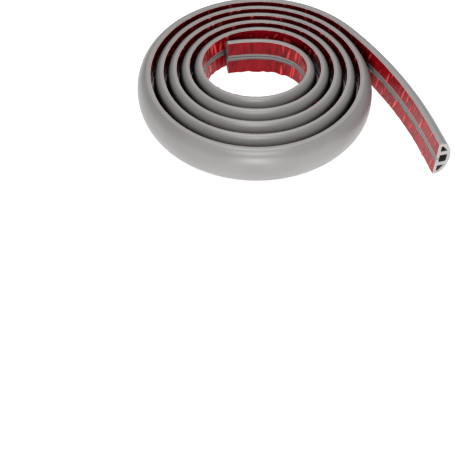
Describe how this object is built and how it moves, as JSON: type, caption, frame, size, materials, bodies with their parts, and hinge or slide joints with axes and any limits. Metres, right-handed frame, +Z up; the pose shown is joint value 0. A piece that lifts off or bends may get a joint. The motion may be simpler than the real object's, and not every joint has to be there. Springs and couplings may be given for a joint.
{
  "type": "floor cord cover",
  "caption": "Length of soft floor cord cover with a domed top, flat taped base and three cord channels, wound on edge into a loose coil with a free tail.",
  "frame": {"origin": "on the floor, under the middle of the outline that the coil and its tail cover", "axes": "+Z up along the coil's axis, -Y along the straight end of the tail, +X to the side that the tail's dome faces"},
  "size_m": [0.2916, 0.2846, 0.0445],
  "materials": {
    "cover": "satin",
    "tape": "matt foam",
    "liner": "glossy film"
  },
  "bodies": {
    "root": {"cover_body": "cover", "adhesive_tape_upper": "tape", "adhesive_tape_lower": "tape", "release_liner_upper": "liner", "release_liner_lower": "liner"}
  },
  "joints": []
}
